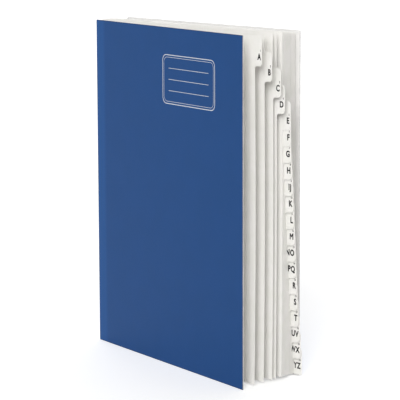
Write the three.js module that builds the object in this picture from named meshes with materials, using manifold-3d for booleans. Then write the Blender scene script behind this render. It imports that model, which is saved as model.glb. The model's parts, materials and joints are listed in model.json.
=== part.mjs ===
// Alphabetical desk sorter: two boards, a pleated spine gusset and twenty tabbed dividers.
// Millimetres, +Z up. It stands on the lower edges of its covers, spine towards -X,
// fore-edge towards +X, front cover towards -Y, and its dividers are fanned open.
// Plan points are (x, y) pairs seen from above, and every piece is a plan outline raised in Z.

import * as THREE from 'three';
import { mergeVertices } from 'three/addons/utils/BufferGeometryUtils.js';
import Module from 'manifold-3d';

const wasm = await Module();
wasm.setup();

// Index letters, front to back, one divider each.
const LETTERS = [
  'A', 'B', 'C', 'D', 'E', 'F', 'G', 'H', 'IJ', 'K',
  'L', 'M', 'NO', 'PQ', 'R', 'S', 'T', 'UV', 'WX', 'YZ',
];

// Covers: solid board, one hinged at each end of the gusset.
const COVER_WIDTH = 241;
const COVER_HEIGHT = 305;
const BOARD = 1;

// Gusset: one strip folded into a valley for each pocket, glued inside each cover by a flap.
const PLEAT_PITCH = 2;
const PLEAT_DEPTH = 12;
const GUSSET = 0.25;
const FOLD_RADIUS = 0.3;
const FLAP_WIDTH = 15;
const SPINE_SKEW = 12.5;

// Dividers: card, lapped and glued into the folds, with a stepped index tab each.
const CARD = 0.3;
const PAGE_WIDTH = 237;
const PAGE_INSET = 1.5;
const LAP = 4;
const TAB_DEPTH = 10;
const TAB_HEIGHT = 25.4;
const TAB_CORNER = 4;
const TAB_FILLET = 3;

// The fan: clear air at the fore-edge, first in front of A, last behind YZ.
const FRONT_GAP = 14.6;
const OPENED_GAPS = [11, 10.4, 4.6, 7];
const PRESSED_GAP = 0.5;
const RESTING_GAP = 1;
const SPRUNG_GAP = 1.45;
const BACK_GAP = 1.8;
const PRESSED_COUNT = 2;
const SPRUNG_COUNT = 4;
const BEND_LENGTH = 70;

// The dividers are glued in a low arch: its rise, and a lean below 1 that sets its top forward.
const ARCH_RISE = 1.5;
const ARCH_LEAN = 0.6;

// Clearances.
const GLUE_LINE = 0.12;
const HINGE_GAP = 0.3;

// Facets.
const FOLD_FACETS = 6;
const PAGE_FACETS = 12;
const CORNER_FACETS = 5;

// Finishes.
const BLUE = 0x2f5896;
const SPUNBOND = 0xe6e7e6;
const INDEX_CARD = 0xf0eee8;

// Sizes that follow from the values above.
const dividerCount = LETTERS.length;
const pocketCount = dividerCount + 1;
const pageHeight = COVER_HEIGHT - 2 * PAGE_INSET;
const tabPitch = (pageHeight - TAB_HEIGHT) / (dividerCount - 1);
const sheetLength = PAGE_WIDTH + TAB_DEPTH;
const fanGaps = spacedGaps();
const fanWidth = FRONT_GAP + sum(fanGaps) + dividerCount * CARD + BACK_GAP;

// The crest line runs from the front hinge to the back one; the fold line lies behind it.
const pitchStep = new THREE.Vector2(-SPINE_SKEW / pocketCount, PLEAT_PITCH);
const firstCrest = pitchStep.clone().multiplyScalar(-pocketCount / 2);
const hingeInset = GUSSET / 2 + GLUE_LINE + BOARD;
const coverAngle = Math.asin((fanWidth - pocketCount * PLEAT_PITCH - GUSSET - 2 * GLUE_LINE)
  / (2 * COVER_WIDTH));

function sum(values) {
  return values.reduce((total, value) => total + value, 0);
}

// Air between neighbouring tabs: opened by hand at the front, then lying close to the back.
function spacedGaps() {
  const restingCount = LETTERS.length - 1 - OPENED_GAPS.length - PRESSED_COUNT - SPRUNG_COUNT;
  return [
    ...OPENED_GAPS,
    ...Array(PRESSED_COUNT).fill(PRESSED_GAP),
    ...Array(restingCount).fill(RESTING_GAP),
    ...Array(SPRUNG_COUNT).fill(SPRUNG_GAP),
  ];
}

function archLift(index) {
  return ARCH_RISE * Math.sin(Math.PI * (index / (dividerCount - 1)) ** ARCH_LEAN);
}

function crest(index) {
  return firstCrest.clone().addScaledVector(pitchStep, index);
}

function fold(index) {
  return crest(index + 0.5).add(new THREE.Vector2(-PLEAT_DEPTH, 0));
}

function polar(centre, radius, angle) {
  return new THREE.Vector2(Math.cos(angle), Math.sin(angle)).multiplyScalar(radius).add(centre);
}

function finish(color, roughness) {
  return new THREE.MeshStandardMaterial({ color, roughness, metalness: 0 });
}

// A plan outline raised from one height to another.
function raised(outline, bottom, top) {
  const geometry = new THREE.ExtrudeGeometry(new THREE.Shape(outline), {
    depth: top - bottom,
    bevelEnabled: false,
  });
  return geometry.translate(0, 0, bottom);
}

function named(name, geometry, material) {
  const mesh = new THREE.Mesh(geometry, material);
  mesh.name = name;
  return mesh;
}

// Both sides of a thin strip, from its centre points and the unit normals there.
function stripOutline(points, normals, thickness) {
  const side = (sign) => points.map((point, i) => (
    point.clone().addScaledVector(normals[i], sign * thickness / 2)
  ));
  return [...side(1), ...side(-1).reverse()];
}

function toManifold(geometry) {
  const plain = geometry.clone();
  plain.deleteAttribute('normal');
  plain.deleteAttribute('uv');
  const merged = mergeVertices(plain, 1e-4);
  return new wasm.Manifold(new wasm.Mesh({
    numProp: 3,
    vertProperties: new Float32Array(merged.attributes.position.array),
    triVerts: new Uint32Array(merged.index.array),
  }));
}

function toGeometry(manifold) {
  const mesh = manifold.getMesh();
  const geometry = new THREE.BufferGeometry();
  geometry.setAttribute('position', new THREE.BufferAttribute(mesh.vertProperties, 3));
  geometry.setIndex(new THREE.BufferAttribute(mesh.triVerts, 1));
  geometry.computeVertexNormals();
  return geometry;
}

// Where the strip leaves one fold for the next: the tangent that crosses between two equal circles.
function crossingAngle(from, to) {
  const span = to.clone().sub(from);
  const lean = Math.acos(2 * FOLD_RADIUS / span.length());
  const turn = to.x < from.x ? -1 : 1;
  return span.angle() + turn * lean;
}

// Where a straight panel from a free end meets a fold's circle, on the side that faces that end.
function landingAngle(centre, end, side) {
  const span = end.clone().sub(centre);
  return span.angle() + side * Math.acos(FOLD_RADIUS / span.length());
}

// The gusset's centre line: a free edge at each hinge, a fold behind each pocket and a crest
// between each two pockets.
function gussetLine() {
  const points = [];
  const normals = [];
  const hingeSetback = new THREE.Vector2(-HINGE_GAP, 0);
  const start = crest(0).add(hingeSetback);
  const end = crest(pocketCount).add(hingeSetback);

  const addArc = (centre, from, to, outward) => {
    for (let i = 0; i <= FOLD_FACETS; i += 1) {
      const angle = THREE.MathUtils.lerp(from, to, i / FOLD_FACETS);
      points.push(polar(centre, FOLD_RADIUS, angle));
      normals.push(polar(new THREE.Vector2(), outward, angle));
    }
  };

  for (let k = 0; k < pocketCount; k += 1) {
    const centre = fold(k);
    const arrive = k === 0
      ? landingAngle(centre, start, -1)
      : crossingAngle(crest(k), centre) + Math.PI;
    const leave = k === pocketCount - 1
      ? landingAngle(centre, end, 1)
      : crossingAngle(centre, crest(k + 1));
    const down = THREE.MathUtils.euclideanModulo(arrive, 2 * Math.PI);
    const up = THREE.MathUtils.euclideanModulo(leave, 2 * Math.PI);
    if (k === 0) {
      points.push(start);
      normals.push(polar(new THREE.Vector2(), -1, down));
    }
    addArc(centre, down, up, -1);
    if (k < pocketCount - 1) {
      const nextCrest = crest(k + 1);
      const inner = crossingAngle(nextCrest, fold(k + 1));
      addArc(nextCrest, leave - Math.PI, inner, 1);
    } else {
      points.push(end);
      normals.push(polar(new THREE.Vector2(), -1, up));
    }
  }
  return { points, normals };
}

function makeGusset() {
  const { points, normals } = gussetLine();
  const outline = stripOutline(points, normals, GUSSET);
  return named('spine_gusset', raised(outline, PAGE_INSET, COVER_HEIGHT - PAGE_INSET),
    finish(SPUNBOND, 0.7));
}

// A board and the gusset flap glued inside it, in a group that turns about the hinge line at
// the board's outer corner. side is -1 for the front cover and 1 for the back one.
function makeCover(name, side) {
  const corner = crest(side < 0 ? 0 : pocketCount).add(new THREE.Vector2(0, side * hingeInset));
  const slab = (start, width, depth, thickness, inset) => {
    const near = -side * depth;
    const far = -side * (depth + thickness);
    const outline = [[start, near], [start + width, near], [start + width, far], [start, far]];
    return raised(outline.map(([x, y]) => new THREE.Vector2(x, y)), inset, COVER_HEIGHT - inset);
  };
  const board = slab(0, COVER_WIDTH, 0, BOARD, 0);
  const flap = slab(HINGE_GAP, FLAP_WIDTH, BOARD + GLUE_LINE, GUSSET, PAGE_INSET);

  const cover = new THREE.Group();
  cover.add(named(`${name}_cover`, board, finish(BLUE, 0.45)));
  cover.add(named(`${name}_gusset_flap`, flap, finish(SPUNBOND, 0.7)));
  cover.position.set(corner.x, corner.y, 0);
  cover.rotation.z = side * coverAngle;
  return cover;
}

// A divider's plan line: lapped on the pleat in front of its crest, then bending gently to its
// own place in the fan.
function dividerLine(index) {
  const pleatCrest = crest(index + 1);
  const away = crossingAngle(fold(index), pleatCrest) + Math.PI;
  const outward = polar(new THREE.Vector2(), 1, away);
  const along = new THREE.Vector2(-outward.y, outward.x);
  const seat = FOLD_RADIUS + GUSSET / 2 + GLUE_LINE + CARD / 2;
  const root = pleatCrest.clone().addScaledVector(outward, seat);
  const bend = root.clone().addScaledVector(along, BEND_LENGTH);

  const fanned = FRONT_GAP + sum(fanGaps.slice(0, index)) + (index + 0.5) * CARD;
  const tipY = fanned - fanWidth / 2;
  const rise = tipY - root.y;
  const tip = new THREE.Vector2(root.x + Math.sqrt(sheetLength ** 2 - rise ** 2), tipY);

  const curve = new THREE.QuadraticBezierCurve(root, bend, tip);
  const points = [root.clone().addScaledVector(along, -LAP)];
  const normals = [outward.clone().negate()];
  for (let i = 0; i <= PAGE_FACETS; i += 1) {
    const tangent = curve.getTangentAt(i / PAGE_FACETS);
    points.push(curve.getPointAt(i / PAGE_FACETS));
    normals.push(new THREE.Vector2(-tangent.y, tangent.x));
  }
  return { points, normals, edgeX: curve.getPointAt(PAGE_WIDTH / sheetLength).x, tipX: tip.x };
}

// A divider's outline seen from the front, with height as the shape's second direction.
// A tab that ends at the sheet's top or bottom edge has a square corner there.
function dividerFace(index, bottom, startX, edgeX, tipX) {
  const top = bottom + pageHeight;
  const tabBottom = bottom + (dividerCount - 1 - index) * tabPitch;
  const tabTop = tabBottom + TAB_HEIGHT;
  const quarter = Math.PI / 2;

  const face = new THREE.Shape();
  face.moveTo(startX, bottom);
  if (index === dividerCount - 1) {
    face.lineTo(tipX, bottom);
  } else {
    face.lineTo(edgeX, bottom);
    face.lineTo(edgeX, tabBottom - TAB_FILLET);
    face.absarc(edgeX + TAB_FILLET, tabBottom - TAB_FILLET, TAB_FILLET, 2 * quarter, quarter, true);
    face.lineTo(tipX - TAB_CORNER, tabBottom);
    face.absarc(tipX - TAB_CORNER, tabBottom + TAB_CORNER, TAB_CORNER, -quarter, 0, false);
  }
  if (index === 0) {
    face.lineTo(tipX, top);
  } else {
    face.lineTo(tipX, tabTop - TAB_CORNER);
    face.absarc(tipX - TAB_CORNER, tabTop - TAB_CORNER, TAB_CORNER, 0, quarter, false);
    face.lineTo(edgeX + TAB_FILLET, tabTop);
    face.absarc(edgeX + TAB_FILLET, tabTop + TAB_FILLET, TAB_FILLET, -quarter, -2 * quarter, true);
    face.lineTo(edgeX, top);
  }
  face.lineTo(startX, top);
  face.closePath();
  return face;
}

// The bent sheet, cut to its tabbed outline by a cutter that runs through the whole fan in Y.
function makeDivider(letter, index) {
  const { points, normals, edgeX, tipX } = dividerLine(index);
  const bottom = PAGE_INSET + archLift(index);
  const sheet = raised(stripOutline(points, normals, CARD), bottom, bottom + pageHeight);

  const startX = points[0].x - LAP;
  const face = dividerFace(index, bottom, startX, edgeX, tipX);
  const cutter = new THREE.ExtrudeGeometry(face, {
    depth: fanWidth,
    bevelEnabled: false,
    curveSegments: CORNER_FACETS,
  });
  cutter.rotateX(Math.PI / 2);
  cutter.translate(0, fanWidth / 2, 0);

  const cut = toManifold(sheet).intersect(toManifold(cutter));
  return named(`divider_${letter}`, toGeometry(cut), finish(INDEX_CARD, 0.6));
}

const sorter = new THREE.Group();
sorter.add(makeCover('front', -1));
sorter.add(makeGusset());
LETTERS.forEach((letter, index) => sorter.add(makeDivider(letter, index)));
sorter.add(makeCover('back', 1));

// The origin is on the ground, under the middle of the whole sorter.
const bounds = new THREE.Box3().setFromObject(sorter);
const middle = bounds.getCenter(new THREE.Vector3());
sorter.position.set(-middle.x, -middle.y, -bounds.min.z);

export default sorter;
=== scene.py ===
"""Alphabetical desk sorter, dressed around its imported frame.

It stands fanned open on a white floor, spine to the left, with its tabs towards the right.
Everything is in metres, in the frame's own axes: +X to the fore-edge, -Y out of the front cover.
"""

import json
import math

import bmesh
import bpy
from mathutils import Matrix, Vector
from mathutils.bvhtree import BVHTree


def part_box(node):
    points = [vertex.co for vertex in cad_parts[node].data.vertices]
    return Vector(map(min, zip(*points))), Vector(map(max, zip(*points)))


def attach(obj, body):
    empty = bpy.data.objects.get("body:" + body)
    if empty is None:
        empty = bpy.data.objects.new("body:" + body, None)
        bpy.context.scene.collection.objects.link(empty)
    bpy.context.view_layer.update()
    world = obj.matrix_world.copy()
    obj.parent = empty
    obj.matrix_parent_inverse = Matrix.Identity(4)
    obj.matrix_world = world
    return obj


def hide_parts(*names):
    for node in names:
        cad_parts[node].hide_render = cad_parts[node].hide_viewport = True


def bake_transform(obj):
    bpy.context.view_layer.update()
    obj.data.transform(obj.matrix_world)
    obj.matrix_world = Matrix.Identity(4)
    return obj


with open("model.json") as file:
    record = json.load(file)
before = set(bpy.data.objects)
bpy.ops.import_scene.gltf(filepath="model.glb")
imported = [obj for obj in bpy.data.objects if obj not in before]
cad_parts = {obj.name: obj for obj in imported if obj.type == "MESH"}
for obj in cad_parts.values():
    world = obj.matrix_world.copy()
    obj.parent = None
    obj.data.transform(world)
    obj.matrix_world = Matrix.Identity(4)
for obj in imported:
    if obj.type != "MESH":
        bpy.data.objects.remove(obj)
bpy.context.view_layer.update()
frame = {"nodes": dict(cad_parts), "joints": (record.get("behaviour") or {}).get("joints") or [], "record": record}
nodes = frame["nodes"]
MM = 0.001

# Covers: two die-cut sheets of 1 mm solid bleached board, printed blue and film laminated on
# the outside and left white inside. Each turns about its outer spine corner.
COVER_WIDTH = 241 * MM
COVER_HEIGHT = 305 * MM
BOARD = 1 * MM
ARRIS = 0.22 * MM
ARRIS_SEGMENTS = 3
OUTER_FACING = -0.3
INNER_FACING = 0.95
# Painted shade: the outer face is coloured darker within this reach of its edges, standing in for the edges
# falling into shade.
PAINTED_EDGE_SHADE = 0.9 * MM
PAINTED_EDGE_SHADE_FADE = 0.3 * PAINTED_EDGE_SHADE
# Painted highlight: the outer face is coloured lighter in a band this wide along the spine, standing in for light
# caught where the board bends near its hinge.
PAINTED_SPINE_HIGHLIGHT = 17 * MM
SPINE_HIGHLIGHT_FADE = 0.6 * PAINTED_SPINE_HIGHLIGHT
PRINT_MOTTLE = 26 * MM
FILM_GRAIN = 0.9 * MM
BOARD_FIBRE = 0.7 * MM
LINING_FIBRE = 1.1 * MM
CLOUD_FIBRES = 12
CLOUD_LOW = 0.35
CLOUD_HIGH = 0.65
# A Mix node's sockets share their names, so its colours are reached by their places.
MIX_FIRST = 6
MIX_SECOND = 7
MIXED = 2


def linear(hex_colour):
    """An sRGB hex colour as linear RGBA."""
    channels = [int(hex_colour[i:i + 2], 16) / 255 for i in (1, 3, 5)]
    return [c / 12.92 if c <= 0.04045 else ((c + 0.055) / 1.055) ** 2.4 for c in channels] + [1]


def add_node(tree, kind, inputs=None, **settings):
    """Adds a shader node, sets it up, and fills its inputs with values or links."""
    node = tree.nodes.new("ShaderNode" + kind)
    for name, value in settings.items():
        setattr(node, name, value)
    for name, value in (inputs or {}).items():
        if isinstance(value, bpy.types.NodeSocket):
            tree.links.new(value, node.inputs[name])
        else:
            node.inputs[name].default_value = value
    return node


def new_material(name):
    """A material with an empty node tree and its output."""
    material = bpy.data.materials.new(name)
    material.use_nodes = True
    tree = material.node_tree
    tree.nodes.clear()
    return material, tree, add_node(tree, "OutputMaterial")


def clouds(tree, solid, size, detail=3, distortion=0):
    """Soft clouds about this long in metres, as a share from 0 to 1."""
    noise = add_node(tree, "TexNoise", {
        "Vector": solid, "Scale": 1 / size, "Detail": detail, "Distortion": distortion,
    })
    share = add_node(tree, "MapRange", {
        "Value": noise.outputs["Fac"], "From Min": CLOUD_LOW, "From Max": CLOUD_HIGH,
    }, interpolation_type="SMOOTHSTEP")
    return share.outputs["Result"]


def blue_laminate():
    """Offset-printed board under satin polypropylene film: softly glossy. Its colour carries painted shade along
    its edges and a painted highlight in a band along the spine.

    The grain of such film is too fine to show, and is drawn coarser.
    """
    material, tree, output = new_material("blue_satin_laminate")
    place = add_node(tree, "UVMap", uv_map="board").outputs["UV"]
    solid = add_node(tree, "TexCoord").outputs["Object"]
    axes = add_node(tree, "SeparateXYZ", {"Vector": place})

    to_edge = []
    for axis, length in (("X", COVER_WIDTH), ("Y", COVER_HEIGHT)):
        near = axes.outputs[axis]
        far = add_node(tree, "Math", {0: length, 1: near}, operation="SUBTRACT")
        nearest = add_node(tree, "Math", {0: far.outputs[0], 1: near}, operation="MINIMUM")
        to_edge.append(nearest.outputs[0])
    edge = add_node(tree, "Math", {0: to_edge[0], 1: to_edge[1]}, operation="MINIMUM")
    # Painted shade mask: none at the board's edges, rising to one inside this reach.
    inner = add_node(tree, "MapRange", {
        "Value": edge.outputs[0], "From Min": PAINTED_EDGE_SHADE_FADE, "From Max": PAINTED_EDGE_SHADE,
    }, interpolation_type="SMOOTHSTEP")
    # Painted highlight mask: one along the spine edge, falling to none past the band.
    spine_highlight = add_node(tree, "MapRange", {
        "Value": axes.outputs["X"], "From Min": SPINE_HIGHLIGHT_FADE, "From Max": PAINTED_SPINE_HIGHLIGHT,
        "To Min": 1, "To Max": 0,
    }, interpolation_type="SMOOTHSTEP")

    printed = add_node(tree, "Mix", {
        "Factor": clouds(tree, solid, PRINT_MOTTLE),
        MIX_FIRST: linear("#0c4179"), MIX_SECOND: linear("#0d427b"),
    }, data_type="RGBA")
    # Painted highlight: a lighter blue laid in the band along the spine.
    spine_highlighted = add_node(tree, "Mix", {
        "Factor": spine_highlight.outputs["Result"],
        MIX_FIRST: printed.outputs[MIXED], MIX_SECOND: linear("#134a86"),
    }, data_type="RGBA")
    # Painted shade: a darker blue laid along the edges.
    painted_edge_shade = add_node(tree, "Mix", {
        "Factor": inner.outputs["Result"],
        MIX_FIRST: linear("#0b3261"), MIX_SECOND: spine_highlighted.outputs[MIXED],
    }, data_type="RGBA")

    grain = add_node(tree, "TexNoise", {"Vector": solid, "Scale": 1 / FILM_GRAIN, "Detail": 4})
    bump = add_node(tree, "Bump", {
        "Height": grain.outputs["Fac"], "Strength": 0.12, "Distance": 0.05 * MM,
    })
    gloss = add_node(tree, "MapRange", {
        "Value": grain.outputs["Fac"], "From Min": 0.3, "From Max": 0.7,
        "To Min": 0.36, "To Max": 0.46,
    }, interpolation_type="SMOOTHSTEP")
    shader = add_node(tree, "BsdfPrincipled", {
        "Base Color": painted_edge_shade.outputs[MIXED], "Roughness": gloss.outputs["Result"],
        "IOR": 1.49, "Specular IOR Level": 0.12, "Normal": bump.outputs["Normal"],
    })
    tree.links.new(shader.outputs[0], output.inputs["Surface"])
    return material


def white_card(name, colour, shade, fibre, roughness):
    """Coated or bare white card: matt, with a faint cloudy fibre and a slight tooth.

    The fibre of such card is too fine to show, and is drawn coarser.
    """
    material, tree, output = new_material(name)
    solid = add_node(tree, "TexCoord").outputs["Object"]
    tone = add_node(tree, "Mix", {
        "Factor": clouds(tree, solid, CLOUD_FIBRES * fibre, detail=4),
        MIX_FIRST: linear(shade), MIX_SECOND: linear(colour),
    }, data_type="RGBA")
    tooth = add_node(tree, "TexNoise", {"Vector": solid, "Scale": 1 / fibre, "Detail": 5})
    bump = add_node(tree, "Bump", {
        "Height": tooth.outputs["Fac"], "Strength": 0.15, "Distance": 0.05 * MM,
    })
    shader = add_node(tree, "BsdfPrincipled", {
        "Base Color": tone.outputs[MIXED], "Roughness": roughness, "IOR": 1.45,
        "Normal": bump.outputs["Normal"],
    })
    tree.links.new(shader.outputs[0], output.inputs["Surface"])
    return material


laminate = blue_laminate()
lining = white_card("white_coated_board", "#f1f0ee", "#edecea", LINING_FIBRE, 0.55)
cut_edge = white_card("cut_board_edge", "#c9c8c6", "#b6b5b3", BOARD_FIBRE, 0.8)

hinges = {joint["child"]: Vector(joint["pos_m"]) for joint in frame["joints"]}
splay = math.asin((hinges["front_cover"].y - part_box("front_cover")[0].y) / COVER_WIDTH)
cover_places = {
    "front_cover": Matrix.Translation(hinges["front_cover"]) @ Matrix.Rotation(-splay, 4, "Z"),
    "back_cover": (Matrix.Translation(hinges["back_cover"]) @ Matrix.Rotation(splay, 4, "Z")
                   @ Matrix.Scale(-1, 4, (0, 1, 0))),
}


def make_object(name, bm, materials):
    """Turns a bmesh into an object at the origin, with its materials."""
    mesh = bpy.data.meshes.new(name)
    bm.to_mesh(mesh)
    bm.free()
    for material in materials:
        mesh.materials.append(material)
    made = bpy.data.objects.new(name, mesh)
    bpy.context.scene.collection.objects.link(made)
    return made


def make_board(cover):
    """A board with its outer face at local y = 0, from the hinge towards +X."""
    bm = bmesh.new()
    bmesh.ops.create_cube(bm, size=1)
    bmesh.ops.translate(bm, verts=bm.verts, vec=(0.5, 0.5, 0.5))
    bmesh.ops.scale(bm, verts=bm.verts, vec=(COVER_WIDTH, BOARD, COVER_HEIGHT))
    bmesh.ops.bevel(bm, geom=bm.edges[:], offset=ARRIS, segments=ARRIS_SEGMENTS, profile=0.5,
                    affect="EDGES", material=-1)
    bm.normal_update()
    layer = bm.loops.layers.uv.new("board")
    for face in bm.faces:
        outer, inner = face.normal.y < OUTER_FACING, face.normal.y > INNER_FACING
        face.material_index = 0 if outer else 1 if inner else 2
        for loop in face.loops:
            loop[layer].uv = (loop.vert.co.x, loop.vert.co.z)
    bmesh.ops.transform(bm, matrix=cover_places[cover], verts=bm.verts)
    bmesh.ops.recalc_face_normals(bm, faces=bm.faces)
    board = make_object(cover.replace("cover", "board"), bm, [laminate, lining, cut_edge])
    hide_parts(cover)
    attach(board, cover)


for cover in cover_places:
    make_board(cover)

# Title panel on the front cover: a blank writing panel of thin lines, hot stamped in silver
# foil onto the laminate. It lies flat on the board, a few hundredths of a millimetre proud.
PANEL_CENTRE = (157 * MM, 259 * MM)
PANEL_SIZE = (84 * MM, 44 * MM)
PANEL_CORNER = 6 * MM
CORNER_SEGMENTS = 8
FOIL_LINE = 0.7 * MM
FINE_LINE = 0.5 * FOIL_LINE
RULE_LINE = 0.6 * FOIL_LINE
FOIL_PROUD = 0.03 * MM
RULE_LENGTH = 64 * MM
RULE_PITCH = 10 * MM
RULE_COUNT = 3
INNER_SETBACK = 2.2 * MM
FOIL_WEAR = 2 * MM


def silver_foil():
    """Hot-stamped aluminium foil: thin and bright, a little uneven where the die pressed it."""
    material, tree, output = new_material("silver_foil")
    solid = add_node(tree, "TexCoord").outputs["Object"]
    wear = add_node(tree, "TexNoise", {"Vector": solid, "Scale": 1 / FOIL_WEAR, "Detail": 4})
    tone = add_node(tree, "Mix", {
        "Factor": wear.outputs["Fac"],
        MIX_FIRST: linear("#b9bdc4"), MIX_SECOND: linear("#d3d6da"),
    }, data_type="RGBA")
    shader = add_node(tree, "BsdfPrincipled", {
        "Base Color": tone.outputs[MIXED], "Metallic": 0.55, "Roughness": 0.42,
    })
    tree.links.new(shader.outputs[0], output.inputs["Surface"])
    return material


def foil_outline(bm, size, corner, line):
    """A rounded rectangle drawn with one line, flat in XY."""
    drawn = bmesh.ops.create_grid(bm, x_segments=1, y_segments=1, size=0.5)
    bmesh.ops.scale(bm, verts=drawn["verts"], vec=(*size, 1))
    rounded = bmesh.ops.bevel(bm, geom=drawn["verts"], offset=corner, segments=CORNER_SEGMENTS,
                              profile=0.5, affect="VERTICES", material=-1)
    middle = {face for vert in rounded["verts"] for face in vert.link_faces}
    bmesh.ops.inset_region(bm, faces=list(middle), thickness=line, use_boundary=True,
                           use_even_offset=True)
    bmesh.ops.delete(bm, geom=list(middle), context="FACES")


def make_title_panel():
    """The outline, a finer one inside it, and three ruled lines for a title."""
    bm = bmesh.new()
    foil_outline(bm, PANEL_SIZE, PANEL_CORNER, FOIL_LINE)
    fine = [side - 2 * INNER_SETBACK for side in PANEL_SIZE]
    foil_outline(bm, fine, PANEL_CORNER - INNER_SETBACK / 2, FINE_LINE)
    for i in range(RULE_COUNT):
        rule = bmesh.ops.create_grid(bm, x_segments=1, y_segments=1, size=0.5)
        bmesh.ops.scale(bm, verts=rule["verts"], vec=(RULE_LENGTH, RULE_LINE, 1))
        lift = (i - (RULE_COUNT - 1) / 2) * RULE_PITCH
        bmesh.ops.translate(bm, verts=rule["verts"], vec=(0, lift, 0))
    bmesh.ops.solidify(bm, geom=bm.faces[:], thickness=FOIL_PROUD)
    upright = Matrix.Rotation(math.pi / 2, 4, "X")
    centre = Matrix.Translation((PANEL_CENTRE[0], -0.5 * FOIL_PROUD, PANEL_CENTRE[1]))
    bmesh.ops.transform(bm, matrix=cover_places["front_cover"] @ centre @ upright, verts=bm.verts)
    bmesh.ops.recalc_face_normals(bm, faces=bm.faces)
    panel = make_object("title_panel", bm, [silver_foil()])
    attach(panel, "front_cover")


make_title_panel()

# Gusset: one strip of white spunbond polyolefin sheet, folded into a pleat for each pocket and
# glued inside both covers by its end flaps. With the sorter standing, its folds are drawn in to
# just behind the line of the two hinges, and a soft turn of it crosses each cover's hinge.
FIBRE_SWIRL = 5 * MM
PLEAT_SHARE = 0.2
SHEET = 0.25 * MM
MERGE = 0.005 * MM
TURN_INTO_PLEATS = 1.2 * MM
TURN_ONTO_FLAP = 3 * MM
TURN_STEPS = 14
FIRST_PLEAT_SLOPE = 0.34
LAP = 0.02 * MM


def spunbond_sheet():
    """Flash-spun sheet: a white felt of random fibres that shows as pale swirls."""
    material, tree, output = new_material("spunbond_sheet")
    solid = add_node(tree, "TexCoord").outputs["Object"]
    swirl = clouds(tree, solid, FIBRE_SWIRL, detail=4, distortion=2.5)
    tone = add_node(tree, "Mix", {
        "Factor": swirl, MIX_FIRST: linear("#dcdddb"), MIX_SECOND: linear("#ecedeb"),
    }, data_type="RGBA")
    bump = add_node(tree, "Bump", {"Height": swirl, "Strength": 0.2, "Distance": 0.08 * MM})
    shader = add_node(tree, "BsdfPrincipled", {
        "Base Color": tone.outputs[MIXED], "Roughness": 0.7, "IOR": 1.49,
        "Normal": bump.outputs["Normal"],
    })
    tree.links.new(shader.outputs[0], output.inputs["Surface"])
    return material


def draw_in(bm):
    """Draws what lies behind the line between the two hinges in to a share of its depth."""
    front, back = hinges["front_cover"], hinges["back_cover"]
    for vert in bm.verts:
        spine = front.x + (vert.co.y - front.y) / (back.y - front.y) * (back.x - front.x)
        if vert.co.x < spine:
            vert.co.x = spine - PLEAT_SHARE * (spine - vert.co.x)


def make_gusset(material):
    """The pleated strip between the covers."""
    bm = bmesh.new()
    bm.from_mesh(nodes["spine_gusset"].data)
    bmesh.ops.remove_doubles(bm, verts=bm.verts, dist=MERGE)
    draw_in(bm)
    strip = make_object("pleated_gusset", bm, [material])
    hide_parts("spine_gusset")
    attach(strip, "pages")


def make_hinge_turn(cover, material):
    """The bit of the strip that bends where a cover's flap meets the pleats."""
    low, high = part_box(cover.replace("_cover", "_gusset_flap"))
    side = math.copysign(1, hinges[cover].y)
    outer_face = min(low.y, high.y, key=abs) + side * (SHEET + LAP)
    middle = Vector((hinges[cover].x, outer_face, low.z))
    bm = bmesh.new()
    ends = [bm.verts.new(middle + Vector((reach, 0, 0)))
            for reach in (-TURN_INTO_PLEATS, TURN_ONTO_FLAP)]
    bmesh.ops.subdivide_edges(bm, edges=[bm.edges.new(ends)], cuts=TURN_STEPS)
    for vert in bm.verts:
        along = vert.co.x - middle.x
        vert.co.y += side * along * (math.tan(splay) if along > 0 else FIRST_PLEAT_SLOPE)
    raised = bmesh.ops.extrude_edge_only(bm, edges=bm.edges[:])
    top = [part for part in raised["geom"] if isinstance(part, bmesh.types.BMVert)]
    bmesh.ops.translate(bm, verts=top, vec=(0, 0, high.z - low.z))
    thickened = bmesh.ops.extrude_face_region(bm, geom=bm.faces[:])
    inside = [part for part in thickened["geom"] if isinstance(part, bmesh.types.BMVert)]
    bmesh.ops.translate(bm, verts=inside, vec=(0, -side * (SHEET + 2 * LAP), 0))
    bmesh.ops.recalc_face_normals(bm, faces=bm.faces)
    turn = make_object(cover.replace("cover", "hinge_turn"), bm, [material])
    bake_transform(turn)


spunbond = spunbond_sheet()
make_gusset(spunbond)
for cover in cover_places:
    nodes[cover.replace("_cover", "_gusset_flap")].material_slots[0].material = spunbond
    make_hinge_turn(cover, spunbond)

# Dividers: twenty sheets of heavy white index card, lapped and glued into the pleats. Being
# card, each bows a little between its top and bottom, more where it stands free.
CARD_FIBRE = 1 * MM
SLICES = 12
FREE_BOW = [1.3 * MM, 1.2 * MM, 1 * MM, 0.7 * MM, 0.6 * MM]
PACKED_BOW = 0.4 * MM
SAME_PLANE = math.radians(0.05)
CREASE = math.radians(25)
letters = [name.split("_")[1] for name in frame["record"]["behaviour"]["bodies"]["pages"]
           if name.startswith("divider_")]
index_card = white_card("white_index_card", "#f0eeeb", "#ecebe6", CARD_FIBRE, 0.6)


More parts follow.
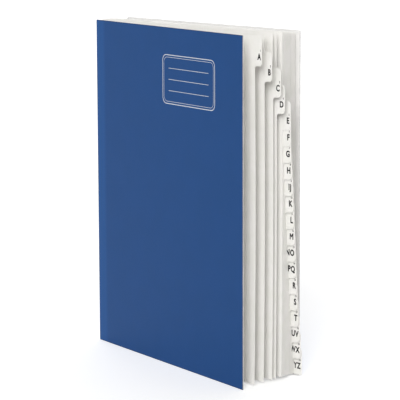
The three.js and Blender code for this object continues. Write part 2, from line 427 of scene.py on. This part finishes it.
def make_divider(index, letter):
    """The sheet with its tab, bowed sideways between its top and bottom edges."""
    name = f"divider_{letter}"
    low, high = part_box(name)
    bm = bmesh.new()
    bm.from_mesh(nodes[name].data)
    bmesh.ops.remove_doubles(bm, verts=bm.verts, dist=MERGE)
    bmesh.ops.dissolve_limit(bm, angle_limit=SAME_PLANE, verts=bm.verts, edges=bm.edges)
    for i in range(1, SLICES):
        cut = low.z + (high.z - low.z) * i / SLICES
        bmesh.ops.bisect_plane(bm, geom=bm.verts[:] + bm.edges[:] + bm.faces[:],
                               plane_co=(0, 0, cut), plane_no=(0, 0, 1))
    bow = FREE_BOW[index] if index < len(FREE_BOW) else PACKED_BOW
    for vert in bm.verts:
        out = (vert.co.x - low.x) / (high.x - low.x)
        up = (vert.co.z - low.z) / (high.z - low.z)
        vert.co.y += bow * out ** 2 * math.sin(math.pi * up)
    draw_in(bm)
    bmesh.ops.triangulate(bm, faces=bm.faces[:])
    for face in bm.faces:
        face.smooth = True
    for edge in bm.edges:
        edge.smooth = edge.calc_face_angle(0) < CREASE
    sheet = make_object(f"sheet_{letter}", bm, [index_card])
    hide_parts(name)
    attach(sheet, "pages")
    return sheet


sheets = {letter: make_divider(i, letter) for i, letter in enumerate(letters)}

# Index printing: each tab carries its letters in bold black capitals, with its number small
# above them, offset printed on both faces.
CAP_HEIGHT = 5.6 * MM
NUMBER_HEIGHT = 1.8 * MM
CAP_SHARE = 0.682
LETTER_WIDTH = 0.86
LETTER_SPACE = 1.14
LETTER_RISE = 8.2 * MM
NUMBER_RISE = 13.4 * MM
PRINT_MARGIN = 1.5 * MM
NUMBER_MARGIN = 1.2 * MM
BOLDNESS = 0.045
INK_PROUD = 0.02 * MM
TYPE_MERGE = 0.001 * MM
TAB_REACH = 5 * MM
TAB_HEIGHT = 25.4 * MM
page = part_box("divider_A")
tab_pitch = (page[1].z - page[0].z - TAB_HEIGHT) / (len(letters) - 1)


def printing_ink():
    """Black offset ink: matt, soaked into the card."""
    material, tree, output = new_material("black_ink")
    shader = add_node(tree, "BsdfPrincipled", {
        "Base Color": linear("#1b1a1c"), "Roughness": 0.6, "IOR": 1.45,
    })
    tree.links.new(shader.outputs[0], output.inputs["Surface"])
    return material


ink = printing_ink()


def surface_below(tree, x, z, side):
    """The point of a sheet's face that is seen at x and z from one side, or None past its edge."""
    return tree.ray_cast(Vector((x, side, z)), Vector((0, -side, 0)))[0]


def set_type(bm, words, height, place, side, tree):
    """Sets a line of type at the place, centred in height, and lays it on the bowed sheet."""
    curve = bpy.data.curves.new("type", "FONT")
    curve.body = words
    curve.size = height / (CAP_SHARE + 2 * BOLDNESS)
    curve.align_x = "RIGHT" if side < 0 else "LEFT"
    curve.space_character = LETTER_SPACE
    curve.bevel_depth = BOLDNESS * curve.size
    curve.bevel_resolution = 0
    setting = bpy.data.objects.new("type", curve)
    bpy.context.scene.collection.objects.link(setting)
    depsgraph = bpy.context.evaluated_depsgraph_get()
    mesh = bpy.data.meshes.new_from_object(setting.evaluated_get(depsgraph))
    flat = Matrix.Diagonal((LETTER_WIDTH, 1, 0.5 * INK_PROUD / curve.bevel_depth, 1))
    baseline = Matrix.Translation((0, -CAP_SHARE * curve.size / 2, 0))
    mesh.transform(baseline @ flat)
    lifts = [vert.co.z + 0.5 * INK_PROUD for vert in mesh.vertices]
    mesh.transform(place)
    for vert, lift in zip(mesh.vertices, lifts):
        paper = surface_below(tree, vert.co.x, vert.co.z, side)
        if paper:
            vert.co.y = paper.y + side * lift
    bm.from_mesh(mesh)
    bpy.data.objects.remove(setting)
    bpy.data.curves.remove(curve)
    bpy.data.meshes.remove(mesh)


def tab_face(tree, tip_x, height, margin, side):
    """Where type ends on a tab: x along the reading line, y up, z out of the paper."""
    ends = [surface_below(tree, tip_x - margin - step, height, side) for step in (0, TAB_REACH)]
    along = (ends[0] - ends[1]).normalized() * -side
    out = along.cross(Vector((0, 0, 1)))
    axes = Matrix((along, (0, 0, 1), out)).transposed().to_4x4()
    return Matrix.Translation(ends[0]) @ axes


def print_tab(index, letter):
    """Both faces of one tab's printing."""
    low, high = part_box(f"divider_{letter}")
    sheet = sheets[letter]
    tree = BVHTree.FromPolygons([vert.co for vert in sheet.data.vertices],
                                [face.vertices[:] for face in sheet.data.polygons])
    tab_bottom = low.z + (len(letters) - 1 - index) * tab_pitch
    bm = bmesh.new()
    for side in (-1, 1):
        for words, height, rise, margin in (
            (letter, CAP_HEIGHT, LETTER_RISE, PRINT_MARGIN),
            (str(index + 1), NUMBER_HEIGHT, NUMBER_RISE, NUMBER_MARGIN),
        ):
            place = tab_face(tree, high.x, tab_bottom + rise, margin, side)
            set_type(bm, words, height, place, side, tree)
    bmesh.ops.remove_doubles(bm, verts=bm.verts, dist=TYPE_MERGE)
    bmesh.ops.recalc_face_normals(bm, faces=bm.faces)
    printed = make_object(f"print_{letter}", bm, [ink])
    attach(printed, "pages")


for index, letter in enumerate(letters):
    print_tab(index, letter)

# The stage: a white floor that runs out of sight, and soft studio light. The key stands in front
# of the fore-edge and reaches in between the sheets, and a weaker fill lights the far side.
FLOOR_HALF = 40
FLOOR_DROP = 0.05 * MM
FLOOR_GLOW = 0.35
SKY_STRENGTH = 0.34


def seen_directly(tree, rays):
    """One for what the camera sees, also in metal or through glass, and none for light."""
    seen = rays.outputs["Is Camera Ray"]
    for kind in ("Is Glossy Ray", "Is Transmission Ray"):
        either = add_node(tree, "Math", {0: seen, 1: rays.outputs[kind]}, operation="MAXIMUM")
        seen = either.outputs[0]
    return seen


def make_floor():
    """White paper sweep that the camera sees as white where nothing shades it."""
    material, tree, output = new_material("white_sweep")
    diffuse = add_node(tree, "BsdfDiffuse", {"Color": linear("#f2f2f2")})
    rays = add_node(tree, "LightPath")
    seen = seen_directly(tree, rays)
    lift = add_node(tree, "Math", {0: seen, 1: FLOOR_GLOW}, operation="MULTIPLY")
    glow = add_node(tree, "Emission", {"Strength": lift.outputs[0]})
    both = add_node(tree, "AddShader", {0: diffuse.outputs[0], 1: glow.outputs[0]})
    tree.links.new(both.outputs[0], output.inputs["Surface"])
    bm = bmesh.new()
    bmesh.ops.create_grid(bm, x_segments=1, y_segments=1, size=FLOOR_HALF)
    bmesh.ops.translate(bm, verts=bm.verts, vec=(0, 0, -FLOOR_DROP))
    make_object("floor", bm, [material])


def make_sky(strength):
    """Even white light from all round, seen as pure white."""
    world = bpy.data.worlds.new("studio")
    bpy.context.scene.world = world
    world.use_nodes = True
    tree = world.node_tree
    tree.nodes.clear()
    rays = add_node(tree, "LightPath")
    level = add_node(tree, "MapRange", {
        "Value": seen_directly(tree, rays), "To Min": strength, "To Max": 1,
    })
    sky = add_node(tree, "Background", {
        "Color": linear("#ffffff"), "Strength": level.outputs["Result"],
    })
    output = add_node(tree, "OutputWorld")
    tree.links.new(sky.outputs[0], output.inputs["Surface"])


def looking_in(azimuth, elevation):
    """Turned to look at the sorter. Azimuth 0 looks along +Y from in front of the cover."""
    a, e = math.radians(azimuth), math.radians(elevation)
    inward = Vector((-math.sin(a) * math.cos(e), math.cos(a) * math.cos(e), -math.sin(e)))
    return inward.to_track_quat("-Z", "Y")


def make_sun(name, azimuth, elevation, strength, spread):
    """A far, wide light that shines in from its azimuth and elevation."""
    lamp = bpy.data.lights.new(name, "SUN")
    lamp.energy = strength
    lamp.angle = math.radians(spread)
    sun = bpy.data.objects.new(name, lamp)
    sun.rotation_euler = looking_in(azimuth, elevation).to_euler()
    bpy.context.scene.collection.objects.link(sun)


make_floor()
make_sky(SKY_STRENGTH)
make_sun("key", azimuth=44, elevation=27, strength=2.45, spread=35)
make_sun("fill", azimuth=225, elevation=35, strength=1.4, spread=60)
bpy.context.scene.view_settings.view_transform = "Standard"

# The camera: a long lens off the fore-edge corner, a little above the covers, and looking
# slightly down on them.
CAMERA_PLACE = Vector((1505.7, -1105.9, 436.8)) * MM
CAMERA_AZIMUTH = 53.338
CAMERA_ELEVATION = 8.846
CAMERA_ROLL = -0.209
SENSOR = 36
LENS = 187.29
CLIP_END = 100


def make_camera():
    """Looks back along the azimuth and elevation, with a trace of roll."""
    camera = bpy.data.objects.new("camera", bpy.data.cameras.new("camera"))
    camera.data.lens = LENS
    camera.data.sensor_width = SENSOR
    camera.data.clip_end = CLIP_END
    aim = looking_in(CAMERA_AZIMUTH, CAMERA_ELEVATION).to_matrix().to_4x4()
    roll = Matrix.Rotation(math.radians(CAMERA_ROLL), 4, "Z")
    camera.matrix_world = Matrix.Translation(CAMERA_PLACE) @ aim @ roll
    bpy.context.scene.collection.objects.link(camera)
    bpy.context.scene.camera = camera


make_camera()
